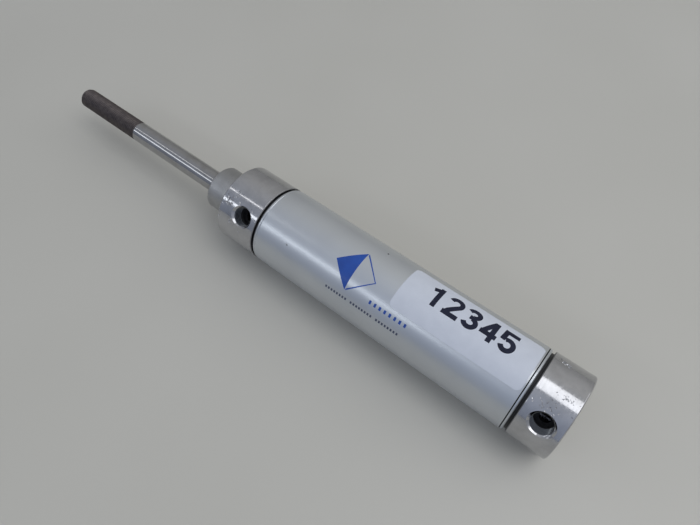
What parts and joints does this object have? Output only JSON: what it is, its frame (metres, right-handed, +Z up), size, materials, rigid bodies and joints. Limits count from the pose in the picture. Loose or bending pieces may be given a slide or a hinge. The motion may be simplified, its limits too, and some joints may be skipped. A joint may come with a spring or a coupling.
{
  "type": "pneumatic cylinder",
  "caption": "Round-bodied double-acting air cylinder with a smooth nose boss, a rolled tube, side ports in both heads and a sliding rod with a threaded end.",
  "frame": {"origin": "on the cylinder's axis, at the shoulder face of the front head where the nose boss stands out", "axes": "-X along the axis the way the rod leaves the nose, +X towards the rear head, +Z up with the cylinder lying on its side and its stock label on top"},
  "size_m": [0.3124, 0.0396, 0.0398],
  "materials": {
    "tube_steel": "satin",
    "head_aluminium": "turned and lightly polished",
    "rod_chrome": "polished",
    "thread_dark": "oily black oxide",
    "seal_rubber": "satin",
    "bushing_bronze": "sintered",
    "plain_steel": "zinc plated",
    "bumper_urethane": "satin",
    "wear_band_plastic": "matte",
    "piston_aluminium": "as turned",
    "insert_nylon": "matte",
    "label_paper": "semi-gloss sticker",
    "print_blue": "screen print",
    "print_black": "thermal print"
  },
  "bodies": {
    "barrel": {"tube": "tube_steel", "front_head": "head_aluminium", "rear_head": "head_aluminium", "front_tube_seal": "seal_rubber", "rear_tube_seal": "seal_rubber", "rod_bushing": "bushing_bronze", "rod_wiper": "seal_rubber", "rod_seal": "seal_rubber", "seal_washer": "plain_steel", "seal_snap_ring": "plain_steel", "front_bumper": "bumper_urethane", "rear_bumper": "bumper_urethane", "stock_label": "label_paper"},
    "piston_packing": {"front_piston_seal": "seal_rubber", "rear_piston_seal": "seal_rubber", "wear_band": "wear_band_plastic"},
    "rod": {"piston_rod": "rod_chrome", "piston": "piston_aluminium", "piston_o_ring": "seal_rubber", "piston_washer": "plain_steel", "piston_locknut": "plain_steel", "locknut_insert": "insert_nylon"}
  },
  "joints": [
    {"name": "rod_slide", "type": "slide", "parent": "barrel", "child": "piston_packing", "axis": [-1, 0, 0], "range_m": [-0.06, 0.0416]},
    {"name": "rod_turn", "type": "hinge", "parent": "piston_packing", "child": "rod", "pos_m": [0, 0, 0], "axis": [-1, 0, 0], "continuous": true}
  ]
}
